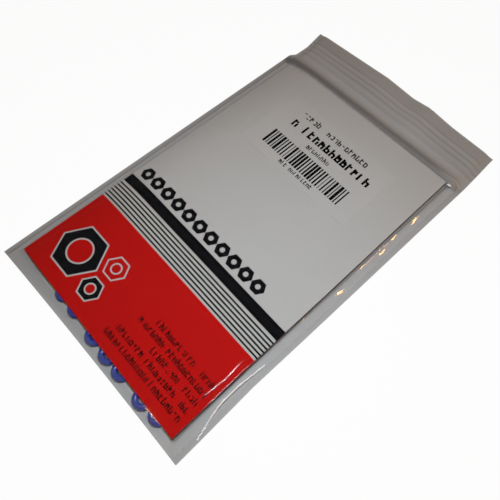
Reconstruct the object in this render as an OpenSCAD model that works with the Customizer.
// Bagged set of o-ring picks: a zip bag with a printed card and ten moulded picks.
// The bag lies on its back. X runs across it, Y from the bottom fold to the zip, Z up.
// The origin is under the middle of the bag. All sizes are in millimetres.

/* [Pick] */
// Overall length of a pick, from the eye's rim to the start of the hook's bend
pick_l = 84; // [70:0.5:100]
// Outer diameter of the ring eye
eye_od = 5.6; // [4.5:0.1:7]
// Thickness of the eye's ring
eye_wire_d = 1.8; // [1.4:0.02:2.2]
// Diameter of the grip, the thickest stretch of the shank
grip_d = 1.8; // [1.7:0.05:2.6]
// Length of the grip before the shank starts to thin
grip_l = 34; // [20:0.5:45]
// Diameter of the neck where the shank leaves the eye
neck_d = 1.1; // [0.8:0.05:1.3]
// Length over which the neck swells into the grip
neck_l = 6; // [3:0.5:10]
// Diameter of the shank at the hook
tip_d = 1; // [0.7:0.05:1.3]
// Bend radius of the hook
hook_r = 2; // [1.2:0.1:3]
// Angle that the hook turns through
hook_turn = 60; // [30:1:80]
// Length of the hook's point after the bend
point_l = 2; // [1:0.1:3]
// Diameter of the hook's blunt point
point_d = 0.45; // [0.3:0.05:0.6]

/* [Layout] */
// Least room between two eyes that lie side by side
lane_gap = 0.1; // [0.08:0.01:0.2]
// How far the row of picks lies to the right of the card's middle
lane_shift = 3.87; // [2.5:0.01:4.5]
// Play between pieces that lie on each other
slip = 0.05; // [0.03:0.01:0.15]
// How far the eye of a reversed pick lies below the card's upper edge
reversed_drop = 9; // [6:0.5:15]

/* [Card] */
// Thickness of the card
card_t = 0.3; // [0.2:0.05:0.6]
// How far a card with the picks under its middle would reach past the outer eyes
card_over = 7.85; // [6:0.05:12]
// How much longer the card is than the picks
card_spare = 24.6; // [20:0.1:40]
// Turn of the card in the bag, in degrees
card_turn = -0.2; // [-1:0.05:1]
// How far out of square the card is cut, in degrees
card_skew = -1; // [-1.5:0.05:1.5]
// Sideways shift of the card from the bag's middle
card_shift = -0.57; // [-0.8:0.01:0.8]
// How far the card's left edge, which has no picks under it, droops
card_droop = 1.55; // [0:0.05:1.6]

/* [Label] */
// Width of the label
label_w = 44.5; // [30:0.5:55]
// Height of the label
label_h = 25.4; // [15:0.1:40]
// Thickness of the label
label_t = 0.1; // [0.05:0.01:0.15]
// Corner radius of the label
label_r = 1.5; // [0.5:0.1:3]
// Gap from the card's upper edge to the label
label_drop = 10.4; // [5:0.1:40]
// Sideways shift of the label from the card's middle
label_shift = 0.45; // [-5:0.05:5]

/* [Bag] */
// Thickness of one layer of film
film_t = 0.1; // [0.05:0.01:0.2]
// Width of the weld along each side
seam_w = 1.5; // [0.8:0.1:3]
// Room between the card and each side weld
side_room = 2.6; // [2:0.05:8]
// Room between the lowest eye and the bottom fold
fold_gap = 1.35; // [1:0.05:4]
// Length of the slope from the card down to the zip
zip_slope_l = 4.4; // [3:0.1:10]
// Flat stretch between that slope and the zip's first rib
zip_lead_l = 3.55; // [2:0.05:10]
// How full the film bulges between the card and a weld: 1 is a straight slope
swell = 1.8; // [1.4:0.05:3]
// How full the film bulges over the eyes at the bottom fold
fold_swell = 3; // [2.2:0.1:4]

/* [Zip] */
// Distance between the ribs that run across the zip
rib_pitch = 2; // [1.7:0.05:3]
// Height of a rib above the film
rib_h = 0.14; // [0.05:0.01:0.3]
// Width of a rib
rib_w = 0.6; // [0.4:0.05:1]
// Height of the groove's two jaws
jaw_h = 0.75; // [0.5:0.05:1.2]
// Width of a jaw
jaw_w = 0.65; // [0.4:0.05:0.7]
// Width of the tongue between the jaws
tongue_w = 0.8; // [0.5:0.05:1]
// Distance from the zip's middle to the lip's edge
lip_l = 8.55; // [6:0.05:20]
// Gap between the two films at the lip's edge
lip_gap = 0.35; // [0.1:0.05:1]
// Lift of the zip's middle off the table
zip_lift = 1.2; // [0:0.05:2]
// Lift of the lip's highest wave off the table
lip_lift = 1.7; // [0:0.05:3]
// How far the left weld is drawn in beside the zip
pinch = 1.4; // [0:0.05:2.5]
// Length over which the left weld is drawn in
pinch_run = 1.9; // [1.5:0.1:4]

/* [Hidden] */
$fn = 48;
PICK_COUNT = 10;

film_colour = [0.62, 0.63, 0.64, 0.35];
card_colour = "whitesmoke";
label_colour = "white";
pick_colour = "royalblue";

// The picks lie side by side from left to right. A reversed pick has its eye at the card's upper end.
reversed = [true, false, false, true, false, false, false, true, false, false];
// Room between each pick and the one before it, in lane gaps, and the turn of each pick in degrees.
lane_room = [0, 7.5, 4.5, 8, 11, 8, 1, 8, 8.5, 1];
pick_tilt = [0.2, 0.3, -0.2, 0.1, 0.2, -0.2, 0.1, -0.1, -0.3, 0.1];
// Share of each eye that shows below the card.
eye_share = [0, 0.22, 0.24, 0, 0.38, 0.42, 0.41, 0, 0.45, 0.32];
eye_mid_r = (eye_od - eye_wire_d) / 2;
function lane_step(k) =
    lane_gap * lane_room[k] + (reversed[k] == reversed[k - 1] ? eye_od : (eye_od + grip_d) / 2);
function lane_at(k) = k == 0 ? 0 : lane_at(k - 1) + lane_step(k);
lanes_w = lane_at(PICK_COUNT - 1);

// Heights of the stack: back film, picks, card, label, front film.
pick_z = film_t + slip + max(grip_d, eye_wire_d) / 2;
card_z = film_t + 2 * slip + max(grip_d, eye_wire_d);
label_z = card_z + card_t;
stack_gap = label_z + label_t + slip - film_t;

// Card and bag follow the picks that they hold.
card_w = lanes_w + eye_od + 2 * card_over;
card_bend_w = card_over + lane_shift;
card_h = pick_l + card_spare;
card_slant = card_turn + card_skew;
card_lean_y = card_w * tan(abs(card_slant)) / 2;
bag_w = card_w + 2 * (side_room + seam_w);
fold_room = max(eye_share) * eye_od + fold_gap;
zip_y = fold_room + card_h + zip_slope_l + zip_lead_l + 1.5 * rib_pitch;
bag_l = zip_y + lip_l;
fold_y = -bag_l / 2;
card_mid_y = fold_y + fold_room + card_h / 2;

// The front film covers the card, with play on every side, and droops with it at the left.
level_l = card_shift - card_w / 2 - slip;
level_r = card_shift + card_w / 2 + slip;
bend_x = card_shift - card_w / 2 + card_bend_w;
droop_share = card_droop / stack_gap;
level_b = card_mid_y - card_h / 2 - card_lean_y - slip;
level_t = card_mid_y + card_h / 2 + card_lean_y + slip;
seam_l = -bag_w / 2 + seam_w;
seam_r = bag_w / 2 - seam_w;
cavity_b = fold_y + film_t;
slope_end = level_t + zip_slope_l;
zip_mid = fold_y + zip_y;
lip_y = fold_y + bag_l;
zip_gap = jaw_h + slip;
jaw_in = tongue_w / 2 + slip;
jaw_out = jaw_in + jaw_w;
wall_run = film_t / 2;

function pick_name(k) = str("pick_", k < 10 ? "0" : "", k);

function mix(a, b, t) = a + (b - a) * t;
function ramp(a, b, v) = min(1, max(0, (v - a) / (b - a)));
function ease(t) = t * t * (3 - 2 * t);

// Droop of the card and the film over it, from the card's left edge, at 0, to its level part, at 1.
function sag(t) = pow(1 - t, 2);

// Bulge of the film between a weld or the fold, at 0, and the card, at 1.
function bulge(t, fullness) = 1 - pow(1 - t, fullness);
function zip_bulge(x) = bulge(min(ramp(seam_l, level_l, x), ramp(seam_r, level_r, x)), swell);
function card_bulge(x) =
    x < level_l ? (1 - droop_share) * bulge(ramp(seam_l, level_l, x), swell)
    : x < bend_x ? 1 - droop_share * sag(ramp(level_l, bend_x, x))
    : bulge(ramp(seam_r, level_r, x), swell);
function side_bulge(x, y) = mix(card_bulge(x), zip_bulge(x), ramp(level_t, slope_end, y));

// Gap between the two films along the bag, before the welds close it at the sides.
function gap_along(y) =
    y < level_t ? stack_gap * bulge(ramp(cavity_b, level_b, y), fold_swell)
    : y < zip_mid ? mix(stack_gap, zip_gap, ease(ramp(level_t, slope_end, y)))
    : mix(zip_gap, lip_gap, ramp(rib_rows[3] + rib_w, lip_y, y));

// The zip: two jaws on the back film, a tongue on the front film, ribs on its outside.
function between(a, b, v) = min(ramp(a, a + wall_run, v), 1 - ramp(b - wall_run, b, v));
function jaws(y) = jaw_h * between(jaw_in, jaw_out, abs(y - zip_mid));
function tongue(y) = jaw_h * (1 - ramp(tongue_w / 2 - wall_run, tongue_w / 2, abs(y - zip_mid)));
function rib(y, at) = rib_h * max(0, 1 - pow((y - at) * 2 / rib_w, 2));
rib_rows = [for (k = [-1.5, -0.5, 0.5, 1.5]) zip_mid + k * rib_pitch];
function ribs(y) = max([for (at = rib_rows) rib(y, at)]);

// The zip end arches off the table in waves: share of the width, share of the lift.
lip_waves = [[0, 0], [0.2, 0.45], [0.42, 0.95], [0.57, 0.5], [0.66, 1], [0.78, 0.35], [1, 0]];
function arch(x, y) =
    lookup(x / bag_w + 0.5, lip_waves)
    * mix(zip_lift * ease(ramp(level_t, zip_mid, y)), lip_lift, ramp(zip_mid, lip_y, y));

// The left weld is drawn in beside the zip, and the film follows it.
pinch_steps = [[slope_end - pinch_run, 0], [slope_end, 0.93], [zip_mid, 1], [lip_y, 0]];
function drawn_in(x, y) = pinch * lookup(y, pinch_steps) * pow(ramp(bag_w / 2, -bag_w / 2, x), 3);

// The level film leans with the turned card, and the welds and the zip stay straight.
function lean(x, y) =
    -tan(card_turn) * (min(max(y, level_b), level_t) - card_mid_y) * (1 - ramp(level_t, slope_end, y))
    * min(ramp(seam_l, level_l, x), ramp(seam_r, level_r, x));

// Grid of the film: columns across the bag and rows along it, close where the film bends.
bend_steps = [0.12, 0.28, 0.48, 0.72];
sag_steps = [0, 0.15, 0.3, 0.5, 0.7, 1];
function sorted(list) =
    len(list) < 2 ? list
    : let (p = list[0])
      concat(sorted([for (v = list) if (v < p) v]), [p], sorted([for (v = list) if (v > p) v]));
function spaced(list) =
    [for (k = [0:len(list) - 1]) if (k == 0 || list[k] - list[k - 1] > film_t / 10) list[k]];
columns = spaced(sorted(concat(
    [-bag_w / 2, seam_l, level_r, seam_r, bag_w / 2],
    [for (t = bend_steps) mix(seam_l, level_l, t)],
    [for (t = sag_steps) mix(level_l, bend_x, t)],
    [for (w = lip_waves) if (w[0] > 0 && w[0] < 1) (w[0] - 0.5) * bag_w],
    [for (t = bend_steps) mix(seam_r, level_r, t)]
)));
zip_steps = [jaw_out, jaw_out - wall_run, jaw_in + wall_run, jaw_in, tongue_w / 2, tongue_w / 2 - wall_run];
function rib_step_rows(at) = [at - rib_w / 2, at - rib_w / 4, at, at + rib_w / 4, at + rib_w / 2];
flat_rows = concat(
    [fold_y, cavity_b],
    [for (t = bend_steps) mix(cavity_b, level_b, t)],
    [level_b, level_t]
);
zip_rows = spaced(sorted(concat(
    [for (t = [0.25, 0.5, 0.75, 1]) mix(level_t, slope_end, t)],
    [for (s = zip_steps) zip_mid - s],
    [for (s = zip_steps) zip_mid + s],
    [for (at = rib_rows) each rib_step_rows(at)],
    [for (t = [0.5, 1]) mix(rib_rows[3] + rib_w / 2, lip_y, t)]
)));
rows = concat(flat_rows, zip_rows);
flat_top = len(flat_rows) - 1;
last_c = len(columns) - 1;
last_r = len(rows) - 1;

function film_point(x, y, z) = [x + drawn_in(x, y) + lean(x, y), y, arch(x, y) + z];
function inner_back(x, y) = film_point(x, y, film_t + jaws(y) * side_bulge(x, y));
function inner_front(x, y) = film_point(x, y, film_t + (gap_along(y) - tongue(y)) * side_bulge(x, y));
function outer_front(x, y) =
    film_point(x, y, 2 * film_t + (gap_along(y) + ribs(y)) * side_bulge(x, y));
function outer_back(x, y) = film_point(x, y, 0);

// The four faces of the film share one numbering. The inner two meet at the welds and the fold.
layer = (last_c + 1) * (last_r + 1);
function at(c, r) = c + r * (last_c + 1);
function front(c, r) = at(c, r);
function back(c, r) = layer + at(c, r);
function floor_in(c, r) = 2 * layer + at(c, r);
function roof_in(c, r) = (c <= 1 || c >= last_c - 1 || r <= 1) ? floor_in(c, r) : 3 * layer + at(c, r);

function up_pair(a, b, c, d) = [[a, b, c], [a, c, d]];
function down_pair(a, b, c, d) = [[d, c, a], [c, b, a]];

film_points = concat(
    [for (y = rows) for (x = columns) outer_front(x, y)],
    [for (y = rows) for (x = columns) outer_back(x, y)],
    [for (y = rows) for (x = columns) inner_back(x, y)],
    [for (y = rows) for (x = columns) inner_front(x, y)]
);
outer_faces = concat(
    [for (r = [0:last_r - 1]) for (c = [0:last_c - 1])
        each up_pair(front(c, r), front(c, r + 1), front(c + 1, r + 1), front(c + 1, r))],
    [for (r = [flat_top:last_r - 1]) for (c = [0:last_c - 1])
        each down_pair(back(c, r), back(c, r + 1), back(c + 1, r + 1), back(c + 1, r))],
    [for (r = [0:flat_top - 2]) [back(0, r), back(last_c, r), back(last_c, r + 1), back(0, r + 1)]],
    [concat([back(0, flat_top - 1), back(last_c, flat_top - 1)],
        [for (c = [last_c:-1:0]) back(c, flat_top)])]
);
inner_faces = concat(
    [for (r = [1:last_r - 1]) for (c = [1:last_c - 2])
        each down_pair(roof_in(c, r), roof_in(c, r + 1), roof_in(c + 1, r + 1), roof_in(c + 1, r))],
    [for (r = [flat_top:last_r - 1]) for (c = [1:last_c - 2])
        each up_pair(floor_in(c, r), floor_in(c, r + 1), floor_in(c + 1, r + 1), floor_in(c + 1, r))],
    [concat([floor_in(1, 2), floor_in(last_c - 1, 2)], [for (c = [last_c - 1:-1:1]) floor_in(c, 1)])],
    [for (r = [2:flat_top - 2])
        [floor_in(1, r), floor_in(1, r + 1), floor_in(last_c - 1, r + 1), floor_in(last_c - 1, r)]],
    [concat([floor_in(last_c - 1, flat_top - 1), floor_in(1, flat_top - 1)],
        [for (c = [1:last_c - 1]) floor_in(c, flat_top)])]
);
edge_faces = concat(
    [concat([back(0, 0)], [for (c = [0:last_c]) front(c, 0)], [back(last_c, 0)])],
    [for (r = [0:last_r - 1]) each up_pair(back(0, r + 1), front(0, r + 1), front(0, r), back(0, r))],
    [for (r = [0:last_r - 1])
        each up_pair(back(last_c, r), front(last_c, r), front(last_c, r + 1), back(last_c, r + 1))]
);
lip_faces = concat(
    [for (c = [1:last_c - 2])
        each up_pair(roof_in(c + 1, last_r), front(c + 1, last_r), front(c, last_r), roof_in(c, last_r))],
    [for (c = [1:last_c - 2])
        each up_pair(back(c + 1, last_r), floor_in(c + 1, last_r), floor_in(c, last_r), back(c, last_r))],
    [[front(0, last_r), back(0, last_r), back(1, last_r), floor_in(1, last_r), front(1, last_r)]],
    [[back(last_c, last_r), front(last_c, last_r), front(last_c - 1, last_r),
        floor_in(last_c - 1, last_r), back(last_c - 1, last_r)]]
);

// Lower edge of the turned card at x, where the eyes show.
function card_edge_y(x) = card_mid_y - card_h / 2 + (x - card_shift) * tan(card_slant);

module bag() {
    color(film_colour)
        polyhedron(film_points, concat(outer_faces, inner_faces, edge_faces, lip_faces));
}

// Places what lies on the card: the card's own middle is the origin, at height z.
module on_card(z) {
    translate([card_shift, card_mid_y, z]) rotate(card_turn) children();
}

// A sheet of thickness t, as wide as the card and a little longer, with the card's droop at its left.
module bent_sheet(t) {
    bent = [for (s = sag_steps) [s * card_bend_w - card_w / 2, -card_droop * sag(s)]];
    top = concat(bent, [[card_w / 2, 0]]);
    last = len(top) - 1;
    rotate([90, 0, 0]) linear_extrude(card_h + 4 * card_lean_y + card_t, center = true)
        polygon(concat(top, [for (k = [last:-1:0]) top[k] + [0, t]]));
}

// The slanted upper and lower edges of the card, drawn wider than the card.
module card_ends() {
    polygon([for (c = [[-1, -1], [1, -1], [1, 1], [-1, 1]])
        [c[0] * card_w, c[1] * card_h / 2 + c[0] * card_w * tan(card_skew)]]);
}

module card() {
    color(card_colour)
        on_card(card_z) intersection() {
            bent_sheet(card_t);
            translate([0, 0, -card_w]) linear_extrude(2 * card_w) card_ends();
        }
}

module rounded_plate(w, h, r) {
    square([w - 2 * r, h], center = true);
    square([w, h - 2 * r], center = true);
    for (sx = [-1, 1]) for (sy = [-1, 1])
        translate([sx * (w / 2 - r), sy * (h / 2 - r)]) circle(r);
}

module label() {
    color(label_colour)
        on_card(label_z) intersection() {
            bent_sheet(label_t);
            translate([label_shift, card_h / 2 - label_drop - label_h / 2, -card_w])
                rotate(card_skew) linear_extrude(2 * card_w) rounded_plate(label_w, label_h, label_r);
        }
}

// Radius of the shank at a distance s from the eye's middle.
shank_end = pick_l - eye_od / 2;
grip_start = eye_mid_r + neck_l;
function shank_radius(s) =
    s < grip_start ? mix(neck_d, grip_d, ease(ramp(eye_mid_r, grip_start, s))) / 2
    : mix(grip_d, tip_d, ease(ramp(grip_start + grip_l, shank_end, s))) / 2;
shank_stations = concat(
    [for (t = [0:0.2:1]) mix(eye_mid_r, grip_start, t)],
    [for (t = [0:0.125:1]) mix(grip_start + grip_l, shank_end, t)]
);

module shank() {
    rotate([-90, 0, 0]) rotate_extrude()
        polygon(concat(
            [[0, eye_mid_r]],
            [for (s = shank_stations) [shank_radius(s), s]],
            [[0, shank_end]]
        ));
}

module eye() {
    rotate_extrude() translate([eye_mid_r, 0]) circle(d = eye_wire_d);
}

// The hook bends to the right of the shank and ends in a blunt point.
module hook() {
    translate([hook_r, shank_end, 0]) {
        mirror([1, 0, 0]) rotate_extrude(angle = hook_turn) translate([hook_r, 0]) circle(d = tip_d);
        translate(hook_r * [-cos(hook_turn), sin(hook_turn), 0])
            rotate([-90, 0, -hook_turn]) {
                cylinder(h = point_l, d1 = tip_d, d2 = point_d);
                translate([0, 0, point_l]) sphere(d = point_d);
            }
    }
}

// One moulded pick with its eye's middle at the origin and its shank along +Y.
module pick_form() {
    color(pick_colour) {
        eye();
        shank();
        hook();
    }
}

function lane_x(k) = card_shift + lane_shift + lane_at(k) - lanes_w / 2;

module pick(k) {
    x = lane_x(k);
    low_y = card_edge_y(x) + (0.5 - eye_share[k]) * eye_od;
    high_y = card_mid_y + card_h / 2 - reversed_drop;
    translate([x, reversed[k] ? high_y : low_y, pick_z])
        rotate(pick_tilt[k] + (reversed[k] ? 180 : 0))
            pick_form();
}

bag();
card();
label();
for (k = [1:PICK_COUNT])
    pick(k - 1);
